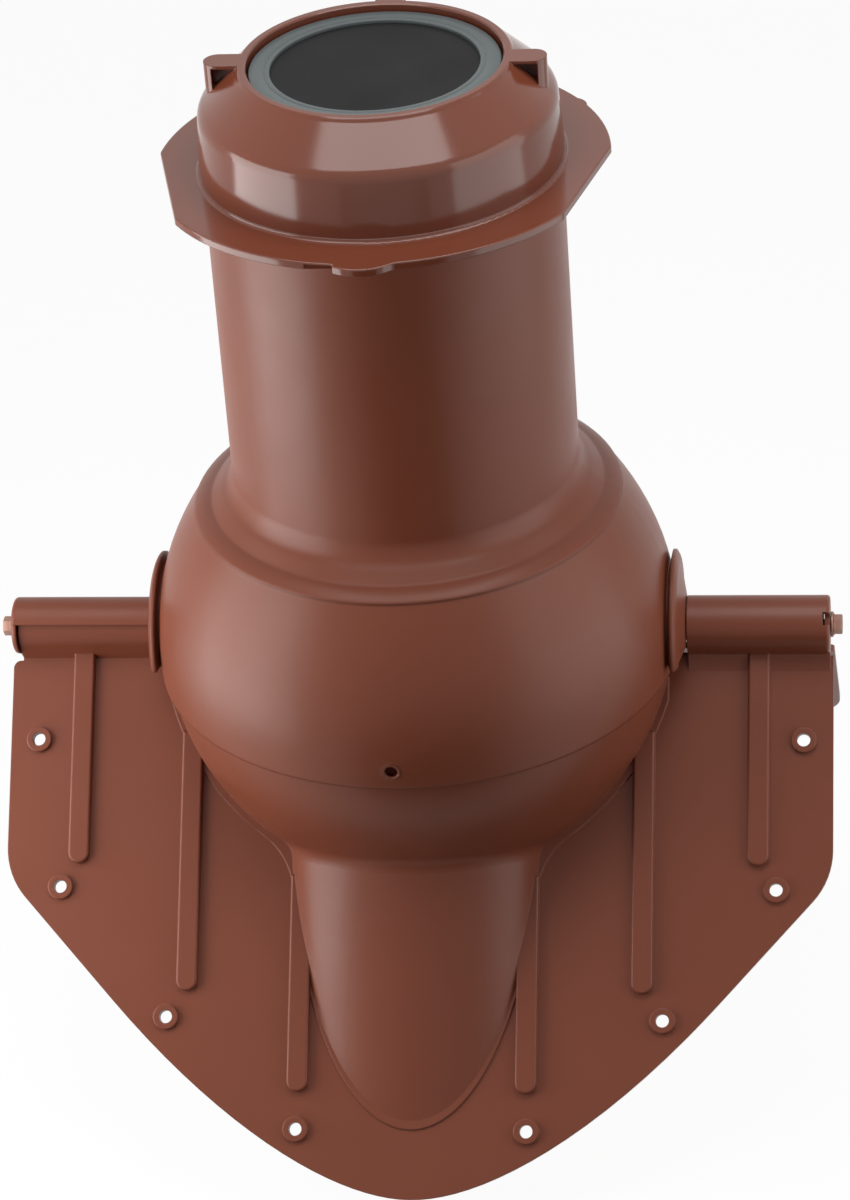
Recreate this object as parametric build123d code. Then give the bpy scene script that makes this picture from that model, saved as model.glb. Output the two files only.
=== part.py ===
from build123d import *
from math import asin, cos, degrees, radians, sin, sqrt
import os

# Ridge vent pipe: a pipe with a ball foot, held between two roof wings that hinge along the ridge.
# X runs along the ridge and is the hinge line, +Z is the pipe axis, the front wing slopes down to -Y.
# The origin is where the pipe axis crosses the hinge line. Lengths are in mm, angles in degrees.

# Pipe and its ball foot
NECK_R = 80.0              # outside radius of the pipe
NECK_WALL = 2.5
NECK_TOP = 240.4           # height of the pipe's open rim above the hinge line
SOCKET_CUT = 0.5           # how much wider the pipe's mouth is, for the collar's spigot
BALL_R = 122.5             # outside radius of the ball foot
BALL_WALL = 2.3
BALL_EDGE = 10.5           # how far the ball's lower edge lies below the hinge line
BALL_SPARE = 5.0           # how much further down its section is turned before it is cut level
BALL_FLAT = 119.9          # outside half width over the ball's flat sides
SHOULDER_TOP = 93.0        # height where the pipe starts to widen
SHOULDER_STEP = 82.6       # height of the inner end of the raised ring round the pipe's foot
SHOULDER_STEP_R = 85.5
SHOULDER_HOLLOW = 1.3      # depth of the hollow between the pipe and that ring
RING_R = 91.0              # radius of the soft crease that runs round on the ring
RING_TOP = 77.4
RING_FOOT = 72.6           # height where the ring meets the ball
RING_STEP = 0.8            # how far the ring's edge stands out of the ball there
RING_BULGE = 0.5
RING_SINK = 0.6            # how much lower the ring's foot lies on the inside
LOCK_HOLE_R = 3.0          # holes for the screws that lock the ball to the wings
LOCK_HOLE_DROP = 1.0
LOCK_LIP = 1.0             # width of the raised lip round such a hole
LOCK_LIP_RISE = 0.3

# Side caps of the ball, which the hinge tubes butt against
CAP_R = 35.5
CAP_RIM = 1.4              # thickness of the cap's cylindrical rim
CAP_GROOVE = 0.4           # gap that the rim leaves over the ball's flat side
CAP_ROUND_R = 28.0         # radius where the rounded edge of the cap ends
CAP_ROUND = 2.0            # depth of that rounded edge
CAP_CROWN = 0.45           # how full that edge is, as a share of its depth
CAP_NOSE = 2.6             # rise of the cap from there to its nose
CAP_NOSE_R = 14.0
CAP_WALL = 2.2
CAP_EDGE = 4.0             # how far the cap's lower edge lies below the hinge line
HUB_R = 6.5

# Wings
PITCH = 48.0               # slope of each wing as shown
WING_HALF = 194.5          # half width of the plate
WING_LENGTH = 268.5        # from the hinge line to the tip, along the slope
WING_WALL = 3.0
WING_DROP = 5.0            # how far the plate's upper face lies below the hinge line
SLANT = 48.0               # angle of the slanting edges to the ridge
SIDE_ROUND = 36.0
TIP_FLAT = 59.8            # half width of the tip's curve at its corner point
TIP_ROUND = 0.62           # how full the tip's curve is
TIP_START = 91.3           # slope length over which the tip's curve bends

# Ball shell of a wing, which slides inside the ball foot
SHELL_GAP = 0.5
SHELL_WALL = 2.5
SHELL_OVERLAP = 10.5       # angle by which the shell reaches above the hinge line
SIDE_GAP = 0.4             # gap between the flat sides of ball and shell
SHELL_EYE = 20.0           # radius kept free round the hinge line inside the ball

# Hood below the ball, whose crest runs straight down to its tip on the plate
HOOD_BACK = 32.7           # slope length from its tip to the wing's tip
HOOD_HALF = 58.8           # half width of its footprint
HOOD_REACH = 147.0         # half length of its footprint
HOOD_LEAN = 15.5           # angle between its crest and the plate
HOOD_BLEND = 9.0           # rounding where it leaves the ball
BEAD = 3.3                 # width of the bead round the ball on the plate
HOOD_BEAD = 0.6            # width of the same bead round the hood
BEAD_RISE = 1.0
BEAD_ROUND = 0.5
BEAD_BLEND = 35.0          # rounding of the bead between ball and hood, seen from above
BEAD_START = 24.0          # slope length where it starts, clear of the ball foot

# Ribs and screw bosses on the plate
RIB_PITCH = 53.3
RIB_WIDTH = 10.0
RIB_RISE = 3.5
RIB_ROUND = 1.2
RIB_WALL = 2.5             # wall that its hollow underside leaves
RIB_STARTS = (118.0, 50.0, 12.0)
RIB_BACKS = (49.2, 95.7, 155.5)    # slope lengths from the ribs' lower ends to the wing's tip
BOSS_R = 6.0
BOSS_RISE = 2.2
BOSS_ROUND = 0.6
BOSS_BORE_R = 3.1
BOSS_PLACES = ((180.8, 214.5), (168.3, 144.4), (116.2, 83.5), (53.8, 31.9))    # across, and up from the tip

# Hinge
COVER_R = 13.7             # outside radius of the half cover, the outer knuckle
COVER_WALL = 2.0
TUBE_GAP = 0.4
TUBE_WALL = 2.2
KNUCKLE_INSET = 1.4        # how far the end disc's outer face lies inside the plate's side edge
END_ROUND = 1.6            # rounding of the knuckle's outer end
DISC = 2.4
DISC_R = 13.2
KNUCKLE_GAP = 0.5          # gap between the knuckles and the side caps
SLIT = 0.8                 # gap between an end disc and the tube inside
COVER_LIP = 195.0          # where the half cover ends, as an angle from the slope over the top
COVER_FOOT = -10.0         # where it runs into its ramp
COVER_ROOT = -22.0         # where it ends inside the ramp
RAMP_GAP = 0.2             # how far the ramp's back stays inside the cover's bore
RAMP_END = 21.2            # slope length where the ramp below the cover meets the plate
SKIRT_END = 14.75          # slope length where the tube's skirt meets the plate
COVER_CLEAR = 14.0         # where the plate starts below the half cover
PLATE_CLEAR = 8.0          # where it starts below the tube
MIDDLE_CLEAR = 17.0        # where it starts between the caps, clear of the ball foot's edge
CAP_CLEAR = 12.4           # where it starts below the caps, clear of the other wing's plate
CORNER_CLEAR = 16.0        # where it starts beside the other wing's end disc
CORNER_ROUND = 3.6
NOTCH_WIDTH = 3.3
NOTCH_WALL = 2.5           # how deep the notch cuts below the cover's bore
NOTCH_FROM = 78.0
NOTCH_TO = 104.0

# Hinge bolts
BOLT_R = 2.5
BOLT_CLEAR = 0.3
HEAD_FLATS = 8.0
HEAD_CROWN = 0.9           # how much its corners are turned down
HEAD = 4.2
WASHER_R = 6.0
WASHER = 1.2
NUT = 4.0
SEAT_GAP = 0.3             # gap that lets a wing turn beside a washer
BOLT_SPARE = 2.0           # thread that stands out of the nut

# Collar on the pipe
FLANGE_R = 101.5           # radius of the round flange
FLANGE = 3.4
FLANGE_ROUND = 0.7
FLAT_ANGLES = (-14.0, -166.0)      # where the flange is cut flat at its sides
FLAT_AT = 95.8             # how far those flats lie from the axis
FLAT_ROUND = 6.0
COLLAR_SEAT = 0.3          # gap between the pipe's rim and the flange
COLLAR_FOOT_R = 81.6
FOOT_ROUND = 1.5           # rounding between the wall and the flange
COLLAR_TOP_R = 79.6
COLLAR_EDGE = 274.0        # height where the wall would meet the shoulder
COLLAR_ROUND = 8.0         # rounding there
COLLAR_WALL = 2.5
LIP_TOP = 292.8
LIP_R = 60.6
LIP_STEP = 0.9             # how far the shoulder's upper end stands out of the lip
LIP_DROP = 1.8             # how far it lies below the lip's top
LIP_EDGE = 0.6             # bevel of the lip's top
LIP_WALL = 4.0
SPIGOT_GAP = 0.3
SPIGOT = 20.0              # how deep the collar reaches into the pipe
LEDGE_R = 50.0
LEDGE_WALL = 2.5
EAR_INSET = 3.8            # how far an ear's end lies inside the wall's top
EAR_WIDTH = 12.6
EAR_TOP = 1.5
EAR_WALL = 4.0
EAR_WEB = 1.6              # web that parts the ear's two recesses
EAR_ROUND = 2.0            # rounding where the ear's top leaves the lip
EAR_ANGLES = (0.0, 90.0, 180.0)
LUG_R = 20.0               # radius of the lug's front
LUG_PROUD = 5.0            # how far the lug stands out of the flange
LUG_AT = 1.0               # sideways place of its middle
LUG_END = -10.2            # where it ends square
LUG_BLEND = 8.0
LUG_SLOT = 12.8            # length of the recess beside that end
LUG_SLOT_DEPTH = 3.0
LUG_SLOT_TOP = 0.9
TAB_ANGLE = 33.0           # where the small rear tab stands out of the flange
TAB_R = 7.5
TAB_PROUD = 1.2
CORNER_SOFT = 0.8          # rounding of the corners at the lug's end and the tab

# Seal on the collar
SEAL_TOP = 289.7
RING_BORE_R = 46.3
CLAMP = 1.6                # thickness of the clamp ring
MEMBRANE = 1.5
SEAL_GAP = 0.3
GASKET = 1.8               # thickness of the gasket round the spigot
GASKET_HEIGHT = 4.0
GASKET_DROP = 9.0

# Sizes that follow
SHELL_R = BALL_R - BALL_WALL - SHELL_GAP
BALL_INSIDE_FLAT = BALL_FLAT - BALL_WALL
SHELL_FLAT = BALL_INSIDE_FLAT - SIDE_GAP
CAP_FACE = BALL_FLAT + CAP_GROOVE + CAP_RIM + CAP_ROUND + CAP_NOSE
KNUCKLE_START = CAP_FACE + KNUCKLE_GAP
COVER_BORE_R = COVER_R - COVER_WALL
TUBE_R = COVER_BORE_R - TUBE_GAP
TUBE_BORE_R = TUBE_R - TUBE_WALL
KNUCKLE_END = WING_HALF - KNUCKLE_INSET
TUBE_END = KNUCKLE_END - DISC - SLIT
SHELL_TOP = PITCH + SHELL_OVERLAP
PLATE_TOP = -WING_DROP
PLATE_FOOT = PLATE_TOP - WING_WALL
HOOD_TIP = WING_LENGTH - HOOD_BACK
SOCKET_R = NECK_R - NECK_WALL + SOCKET_CUT
COLLAR_FOOT = NECK_TOP + COLLAR_SEAT
EAR_REACH = COLLAR_TOP_R - EAR_INSET
SEAL_SEAT = SEAL_TOP - CLAMP - MEMBRANE
FAR = 600.0                # larger than the whole part, for cutting blocks
OVERCUT = 1.0              # how far a cutter runs past the face it cuts


def block(x0, x1, y0, y1, z0, z1):
    """A box between two corners."""
    return Pos((x0 + x1) / 2, (y0 + y1) / 2, (z0 + z1) / 2) * Box(x1 - x0, y1 - y0, z1 - z0)


def rod(radius, x0, x1):
    """A round bar along the hinge line."""
    return Pos((x0 + x1) / 2, 0, 0) * Rot(0, 90, 0) * Cylinder(radius, x1 - x0)


def ended_rod(radius, x0, x1):
    """A round bar along the hinge line, rounded at its +X end."""
    bar = rod(radius, x0, x1)
    return fillet(bar.edges().filter_by(GeomType.CIRCLE).sort_by(Axis.X)[-1], END_ROUND)


def slice_at(angle_from, angle_to, radius, x0, x1):
    """A wedge about the hinge line, with angles taken from the slope over the top."""
    reach = radius * 3
    steps = [angle_from + (angle_to - angle_from) * i / 4 for i in range(5)]
    points = [(0.0, 0.0)] + [(-reach * cos(radians(a)), reach * sin(radians(a))) for a in steps]
    face = make_face(Polyline(*[(0, y, z) for y, z in points], close=True))
    return Pos(x0, 0, 0) * extrude(face, x1 - x0, dir=(1, 0, 0))


def wing_outline():
    """Outline of the plate, from the hinge line to the rounded tip."""
    start = (-TIP_FLAT - TIP_START / sin(radians(SLANT)) * cos(radians(SLANT)), TIP_START - WING_LENGTH)
    run = (WING_HALF + start[0]) * sin(radians(SLANT)) / cos(radians(SLANT))
    shoulder = (-WING_HALF, start[1] + run)
    turn = SIDE_ROUND * sin(radians(90 - SLANT) / 2) / cos(radians(90 - SLANT) / 2)
    on_side = (-WING_HALF, shoulder[1] + turn)
    on_slant = (-WING_HALF + turn * cos(radians(SLANT)), shoulder[1] - turn * sin(radians(SLANT)))
    handle_a = (start[0] + TIP_ROUND * (-TIP_FLAT - start[0]), start[1] - TIP_ROUND * TIP_START)
    handle_b = (-TIP_ROUND * TIP_FLAT, -WING_LENGTH)
    side = Line((-WING_HALF, 0), on_side)
    corner = RadiusArc(on_side, on_slant, SIDE_ROUND)
    if (corner @ 0.5).X > (on_side[0] + on_slant[0]) / 2:
        corner = RadiusArc(on_side, on_slant, -SIDE_ROUND)
    slant = Line(on_slant, start)
    tip = Bezier(start, handle_a, handle_b, (0, -WING_LENGTH))
    half = [side, corner, slant, tip]
    ridge = Line((-WING_HALF, 0), (WING_HALF, 0))
    return make_face(Curve() + half + [mirror(edge, Plane.YZ) for edge in half] + [ridge])


def footprint(ball_r, flat, half, reach, blend):
    """Outline of ball and hood on the plate, with the corners between them rounded."""
    ball = Circle(ball_r) & Pos(0, -FAR / 2) * Rectangle(2 * flat, FAR)
    hood = Pos(0, HOOD_REACH - HOOD_TIP) * (Ellipse(half, reach) & Pos(0, -FAR / 2) * Rectangle(FAR, FAR))
    both = Sketch() + (ball + hood)
    inner = both.vertices().filter_by(lambda point: point.Y < -half)
    corners = inner.filter_by(lambda point: half / 2 < abs(point.X) <= half)
    return fillet(corners, blend) & Pos(0, -FAR / 2 - BEAD_START) * Rectangle(FAR, FAR)


def bead():
    """Low bead on the plate along the ball and the hood."""
    plate_r = sqrt(SHELL_R ** 2 - WING_DROP ** 2)
    outline = footprint(plate_r + BEAD, SHELL_FLAT + HOOD_BEAD, HOOD_HALF + HOOD_BEAD,
                        HOOD_REACH + HOOD_BEAD, BEAD_BLEND)
    pad = Pos(0, 0, PLATE_FOOT + WING_WALL / 2) * extrude(outline, WING_WALL / 2 + BEAD_RISE)
    return fillet(pad.edges().group_by(Axis.Z)[-1], BEAD_ROUND)


def hood_body(inset):
    """The elliptical hood below the ball, made smaller all round by the inset."""
    lean = radians(HOOD_LEAN)
    axis = Plane(origin=(0, HOOD_REACH - HOOD_TIP, PLATE_TOP), x_dir=(1, 0, 0), z_dir=(0, -cos(lean), -sin(lean)))
    section = Ellipse(HOOD_HALF - inset, HOOD_REACH * sin(lean) - inset)
    return extrude(axis * section, HOOD_REACH) + extrude(axis * section, -HOOD_HALF / 2)


def dome():
    """Ball and hood above the plate, with the crease between them rounded."""
    whole = Sphere(SHELL_R) + hood_body(0)
    crease = whole.edges().filter_by(GeomType.BSPLINE)
    whole = fillet(crease, HOOD_BLEND) & block(-SHELL_FLAT, SHELL_FLAT, -FAR, 0, PLATE_FOOT, FAR)
    return whole - slice_at(SHELL_TOP, 180, SHELL_R, -FAR, FAR)


def hollow():
    """The space under the ball and the hood."""
    inside = SHELL_FLAT - SHELL_WALL
    ball = Sphere(SHELL_R - SHELL_WALL) & block(-inside, inside, -FAR, FAR, -FAR, FAR)
    hood = hood_body(SHELL_WALL) & block(-FAR, FAR, -FAR, 0, PLATE_FOOT - OVERCUT, FAR)
    return ball + hood + rod(SHELL_EYE, -SHELL_FLAT - OVERCUT, SHELL_FLAT + OVERCUT)


def rib(across, start, end, inset, z0, z1):
    """A straight rib with a rounded lower end, made narrower and shorter by the inset."""
    width = RIB_WIDTH - 2 * inset
    last = RIB_WIDTH / 2 - end
    bar = block(across - width / 2, across + width / 2, last, -start, z0, z1)
    return bar + Pos(across, last, (z0 + z1) / 2) * Cylinder(width / 2, z1 - z0)


def outer_knuckle():
    """Half cover with its end disc and the ramp down to the plate."""
    x0, x1 = KNUCKLE_START, KNUCKLE_END
    cover = (ended_rod(COVER_R, x0, x1) - rod(COVER_BORE_R, x0 - OVERCUT, x1 + OVERCUT)) & slice_at(
        COVER_ROOT, COVER_LIP, COVER_R, x0, x1)
    foot_y = COVER_R * cos(radians(COVER_FOOT))
    foot_z = COVER_R * sin(radians(COVER_FOOT))
    ramp_face = make_face(Polyline(
        (0, -foot_y, foot_z), (0, -RAMP_END, PLATE_TOP), (0, -RAMP_END, PLATE_FOOT),
        (0, -COVER_CLEAR, PLATE_FOOT), (0, -COVER_BORE_R - RAMP_GAP, PLATE_TOP),
        (0, -COVER_BORE_R - RAMP_GAP, foot_z), close=True))
    ramp = Pos(x0, 0, 0) * extrude(ramp_face, x1 - x0, dir=(1, 0, 0)) - rod(COVER_BORE_R, x0 - OVERCUT, x1 + OVERCUT)
    disc = ended_rod(DISC_R, x1 - END_ROUND - DISC, x1) - rod(DISC_R + OVERCUT, x0, x1 - DISC)
    notch = slice_at(NOTCH_FROM, NOTCH_TO, COVER_R, x1 - NOTCH_WIDTH, x1 + OVERCUT) - rod(
        COVER_BORE_R - NOTCH_WALL, x1 - NOTCH_WIDTH - OVERCUT, x1 + 2 * OVERCUT)
    return cover + ramp + disc - notch - rod(BOLT_R + BOLT_CLEAR, x1 - DISC - OVERCUT, x1 + OVERCUT)


def inner_knuckle():
    """Tube that turns inside the other wing's half cover, with its skirt down to the plate."""
    x0, x1 = -TUBE_END, -KNUCKLE_START
    tube = rod(TUBE_R, x0, x1)
    reach = sqrt(SKIRT_END ** 2 + WING_DROP ** 2)
    lean = degrees(asin(WING_DROP / reach))
    touch = radians(degrees(asin(sqrt(1 - (TUBE_R / reach) ** 2))) - lean)
    face = make_face(Polyline(
        (0, -TUBE_R * cos(touch), TUBE_R * sin(touch)), (0, -SKIRT_END, PLATE_TOP),
        (0, -SKIRT_END, PLATE_FOOT), (0, -PLATE_CLEAR, PLATE_FOOT), (0, -PLATE_CLEAR, PLATE_TOP + OVERCUT),
        close=True))
    skirt = Pos(x0, 0, 0) * extrude(face, x1 - x0, dir=(1, 0, 0))
    bore = rod(TUBE_BORE_R, x0 + DISC, x1 + OVERCUT) + rod(BOLT_R + BOLT_CLEAR, x0 - OVERCUT, x1 + OVERCUT)
    return tube + skirt, bore


def plate_blank():
    """Plate cut back at the hinge, with room for the other wing and the side caps."""
    plate = Pos(0, 0, PLATE_FOOT) * extrude(wing_outline(), WING_WALL)
    low, high = PLATE_FOOT - OVERCUT, PLATE_TOP + OVERCUT
    middle = BALL_FLAT + CAP_GROOVE + CAP_RIM
    plate -= block(KNUCKLE_START, FAR, -COVER_CLEAR, OVERCUT, low, high)
    plate -= block(-middle, middle, -MIDDLE_CLEAR, OVERCUT, low, high)
    plate -= block(-KNUCKLE_START, KNUCKLE_START, -CAP_CLEAR, OVERCUT, low, high)
    plate -= block(-FAR, -KNUCKLE_START, -PLATE_CLEAR, OVERCUT, low, high)
    plate -= block(-FAR, -TUBE_END, -CORNER_CLEAR, OVERCUT, low, high)
    corners = plate.edges().filter_by(Axis.Z)
    corner = corners.sort_by(lambda edge: abs(edge.center().X + WING_HALF) + abs(edge.center().Y + CORNER_CLEAR))
    return fillet(corner[0], CORNER_ROUND)


def boss(across, along):
    """A screw boss on the plate."""
    body = Pos(across, -along, (PLATE_FOOT + PLATE_TOP + BOSS_RISE) / 2) * Cylinder(BOSS_R, WING_WALL + BOSS_RISE)
    return fillet(body.edges().group_by(Axis.Z)[-1], BOSS_ROUND)


def flat_wing():
    """One wing with its plate level, before it is tilted."""
    tube, bore = inner_knuckle()
    wing = plate_blank() + dome() + bead() + outer_knuckle() + tube
    for place, (start, back) in enumerate(zip(RIB_STARTS, RIB_BACKS)):
        end = WING_LENGTH - back
        for side in (-1, 1):
            across = side * RIB_PITCH * (place + 1)
            bar = rib(across, start, end, 0, PLATE_FOOT, PLATE_TOP + RIB_RISE)
            wing += fillet(bar.edges().group_by(Axis.Z)[-1], RIB_ROUND)
            wing -= rib(across, max(start, RAMP_END) + RIB_WALL, end, RIB_WALL,
                        PLATE_FOOT - OVERCUT, PLATE_TOP + RIB_RISE - WING_WALL)
    for across, back in BOSS_PLACES:
        for side in (-1, 1):
            wing += boss(side * across, WING_LENGTH - back)
            wing -= Pos(side * across, back - WING_LENGTH, PLATE_TOP) * Cylinder(BOSS_BORE_R, 4 * WING_WALL)
    return wing - hollow() - bore - rod(COVER_BORE_R, KNUCKLE_START - OVERCUT, KNUCKLE_END - DISC)


def front_wing():
    return Rot(PITCH, 0, 0) * flat_wing()


def rear_wing():
    return Rot(0, 0, 180) * front_wing()


def sphere_point(ball_r, z):
    """A point on the ball's half section at a height."""
    return (sqrt(ball_r ** 2 - z ** 2), 0, z)


def pipe_section(neck_r, ball_r, neck_top, shoulder):
    """Half section of pipe and ball, with the edges between them as given, from the ball upwards."""
    edge_z = -BALL_EDGE - BALL_SPARE
    edge = sphere_point(ball_r, edge_z)
    foot = shoulder[0] @ 0
    ball = ThreePointArc(edge, sphere_point(ball_r, (edge_z + foot.Z) / 2), foot)
    rest = Polyline(shoulder[-1] @ 1, (neck_r, 0, neck_top), (0, 0, neck_top), (0, 0, edge_z), edge)
    return make_face(Curve() + [ball, *shoulder, rest])


def outside_profile():
    """Half section of the outside of pipe and ball, with the raised ring between them."""
    foot = sphere_point(BALL_R, RING_FOOT)
    lip = sphere_point(BALL_R + RING_STEP, RING_FOOT * (1 + RING_STEP / BALL_R))
    crease = (RING_R, 0, RING_TOP)
    step = (SHOULDER_STEP_R, 0, SHOULDER_STEP)
    bulge = ((lip[0] + RING_R + RING_BULGE) / 2, 0, (lip[2] + RING_TOP) / 2 + RING_BULGE)
    dent = ((SHOULDER_STEP_R + NECK_R) / 2 - SHOULDER_HOLLOW, 0,
            (SHOULDER_STEP + SHOULDER_TOP - SHOULDER_HOLLOW) / 2)
    shoulder = [Line(foot, lip), ThreePointArc(lip, bulge, crease), Line(crease, step),
                ThreePointArc(step, dent, (NECK_R, 0, SHOULDER_TOP))]
    return pipe_section(NECK_R, BALL_R, NECK_TOP, shoulder)


def inside_profile():
    """Half section of the space inside, a wall's thickness in from the outside."""
    ball_r = BALL_R - BALL_WALL
    neck_r = NECK_R - NECK_WALL
    down, across = SHOULDER_STEP - RING_TOP, RING_R - SHOULDER_STEP_R
    inwards = NECK_WALL / sqrt(down ** 2 + across ** 2)
    crease = (RING_R - inwards * down, 0, RING_TOP - inwards * across)
    step = (SHOULDER_STEP_R - inwards * down, 0, SHOULDER_STEP - inwards * across)
    shoulder = [Line(sphere_point(ball_r, RING_FOOT - RING_SINK), crease), Line(crease, step),
                Line(step, (neck_r, 0, SHOULDER_TOP - 2 * NECK_WALL))]
    return pipe_section(neck_r, ball_r, NECK_TOP + OVERCUT, shoulder)


def side_cap():
    """Cap on the +X side of the ball, hollow behind, with the hub for the hinge bolt."""
    root = BALL_INSIDE_FLAT + OVERCUT
    rim = BALL_FLAT + CAP_GROOVE
    full = rim + CAP_RIM
    round_x = full + CAP_ROUND
    mid = (full + CAP_ROUND * CAP_CROWN * 2 / 3 + CAP_ROUND / 3, 0,
           CAP_ROUND_R + (CAP_R - CAP_ROUND_R) * (1 + CAP_CROWN) / 2)
    outside = Curve() + [
        Polyline((CAP_FACE, 0, CAP_NOSE_R), (CAP_FACE, 0, 0), (root, 0, 0), (root, 0, CAP_ROUND_R),
                 (rim, 0, CAP_R), (full, 0, CAP_R)),
        ThreePointArc((full, 0, CAP_R), mid, (round_x, 0, CAP_ROUND_R)),
        Line((round_x, 0, CAP_ROUND_R), (CAP_FACE, 0, CAP_NOSE_R))]
    body = revolve(make_face(outside), Axis.X)
    inner_r = CAP_ROUND_R - CAP_WALL
    inside = make_face(Polyline(
        (BALL_FLAT, 0, 0), (BALL_FLAT, 0, inner_r), (round_x - CAP_WALL, 0, inner_r),
        (CAP_FACE - CAP_WALL, 0, CAP_NOSE_R - CAP_WALL), (CAP_FACE - CAP_WALL, 0, 0), close=True))
    body -= revolve(inside, Axis.X)
    body &= block(0, FAR, -FAR, FAR, -CAP_EDGE, FAR)
    return body + rod(HUB_R, BALL_INSIDE_FLAT, CAP_FACE)


def dome_pipe():
    """Pipe and ball foot in one moulding."""
    outer = revolve(outside_profile(), Axis.Z)
    outer &= block(-BALL_FLAT, BALL_FLAT, -FAR, FAR, -BALL_EDGE, FAR)
    inner = revolve(inside_profile(), Axis.Z)
    inner &= block(-BALL_INSIDE_FLAT, BALL_INSIDE_FLAT, -FAR, FAR, -FAR, FAR)
    socket = SPIGOT + COLLAR_SEAT
    dome = outer - inner - Pos(0, 0, NECK_TOP) * Cylinder(SOCKET_R, 2 * socket)
    cap = side_cap()
    dome += cap
    dome += Rot(0, 0, 180) * cap
    proud = BALL_R + LOCK_LIP_RISE
    bung = Pos(0, 0, -LOCK_HOLE_DROP) * Rot(90, 0, 0) * Cylinder(LOCK_HOLE_R + LOCK_LIP, 2 * proud)
    dome += bung - Sphere(BALL_R - BALL_WALL)
    dome -= Pos(0, 0, -LOCK_HOLE_DROP) * Rot(90, 0, 0) * Cylinder(LOCK_HOLE_R, 2 * proud + OVERCUT)
    dome -= rod(BOLT_R + BOLT_CLEAR, -FAR, FAR)
    return dome


def collar_profile():
    """Half section of the collar's outside, without flange and ears."""
    shoulder = (LIP_R + LIP_STEP, 0, LIP_TOP - LIP_DROP)
    face = make_face(Polyline(
        (0, 0, COLLAR_FOOT - SPIGOT), (SOCKET_R - SPIGOT_GAP, 0, COLLAR_FOOT - SPIGOT),
        (SOCKET_R - SPIGOT_GAP, 0, COLLAR_FOOT), (COLLAR_FOOT_R, 0, COLLAR_FOOT), (COLLAR_TOP_R, 0, COLLAR_EDGE),
        shoulder, (LIP_R, 0, LIP_TOP - LIP_EDGE), (LIP_R - LIP_EDGE, 0, LIP_TOP), (0, 0, LIP_TOP), close=True))
    return rounded(face, (COLLAR_TOP_R, 0, COLLAR_EDGE), COLLAR_ROUND)


def collar_hollow():
    """Half section of the space inside the collar."""
    bore_r = SOCKET_R - SPIGOT_GAP - COLLAR_WALL
    wall_r = COLLAR_TOP_R - COLLAR_WALL
    lip_r = LIP_R - LIP_WALL
    under = SEAL_SEAT - LEDGE_WALL
    edge = COLLAR_EDGE - COLLAR_WALL
    face = make_face(Polyline(
        (0, 0, COLLAR_FOOT - SPIGOT - OVERCUT), (bore_r, 0, COLLAR_FOOT - SPIGOT - OVERCUT),
        (bore_r, 0, COLLAR_FOOT + FLANGE), (COLLAR_FOOT_R - COLLAR_WALL, 0, COLLAR_FOOT + 2 * FLANGE),
        (wall_r, 0, edge), (LIP_R - LIP_DROP, 0, under), (LEDGE_R, 0, under), (LEDGE_R, 0, SEAL_SEAT),
        (lip_r, 0, SEAL_SEAT), (lip_r, 0, LIP_TOP - LIP_EDGE), (lip_r + LIP_EDGE, 0, LIP_TOP),
        (lip_r + LIP_EDGE, 0, LIP_TOP + OVERCUT), (0, 0, LIP_TOP + OVERCUT), close=True))
    return rounded(face, (wall_r, 0, edge), COLLAR_ROUND - COLLAR_WALL)


def rounded(face, corner, radius):
    """A face with one corner rounded."""
    return fillet(face.vertices().sort_by_distance(corner)[0], radius)


def flange_outline():
    """Round flange with its side flats, front lug and rear tab."""
    outline = Sketch() + Circle(FLANGE_R)
    for angle in FLAT_ANGLES:
        outline -= Rot(0, 0, angle) * Pos(FLAT_AT + FLANGE_R / 2, 0) * Rectangle(FLANGE_R, 2 * FLANGE_R)
    outline = fillet(outline.vertices(), FLAT_ROUND)
    lug = Pos(LUG_AT, LUG_R - FLANGE_R - LUG_PROUD) * Circle(LUG_R)
    lug &= Pos(LUG_END + LUG_R, -FLANGE_R) * Rectangle(2 * LUG_R, 2 * LUG_R)
    outline += lug
    outline = rounded(outline, (LUG_AT + LUG_R, -FLANGE_R, 0), LUG_BLEND)
    outline += Rot(0, 0, TAB_ANGLE) * Pos(FLANGE_R + TAB_PROUD - TAB_R, 0) * Circle(TAB_R)
    tab_at = Vector(FLANGE_R, 0, 0).rotate(Axis.Z, TAB_ANGLE)
    for place in ((LUG_END, -FLANGE_R - LUG_PROUD / 2, 0), tab_at):
        outline = fillet(outline.vertices().sort_by_distance(place)[:2], CORNER_SOFT)
    return outline


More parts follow.
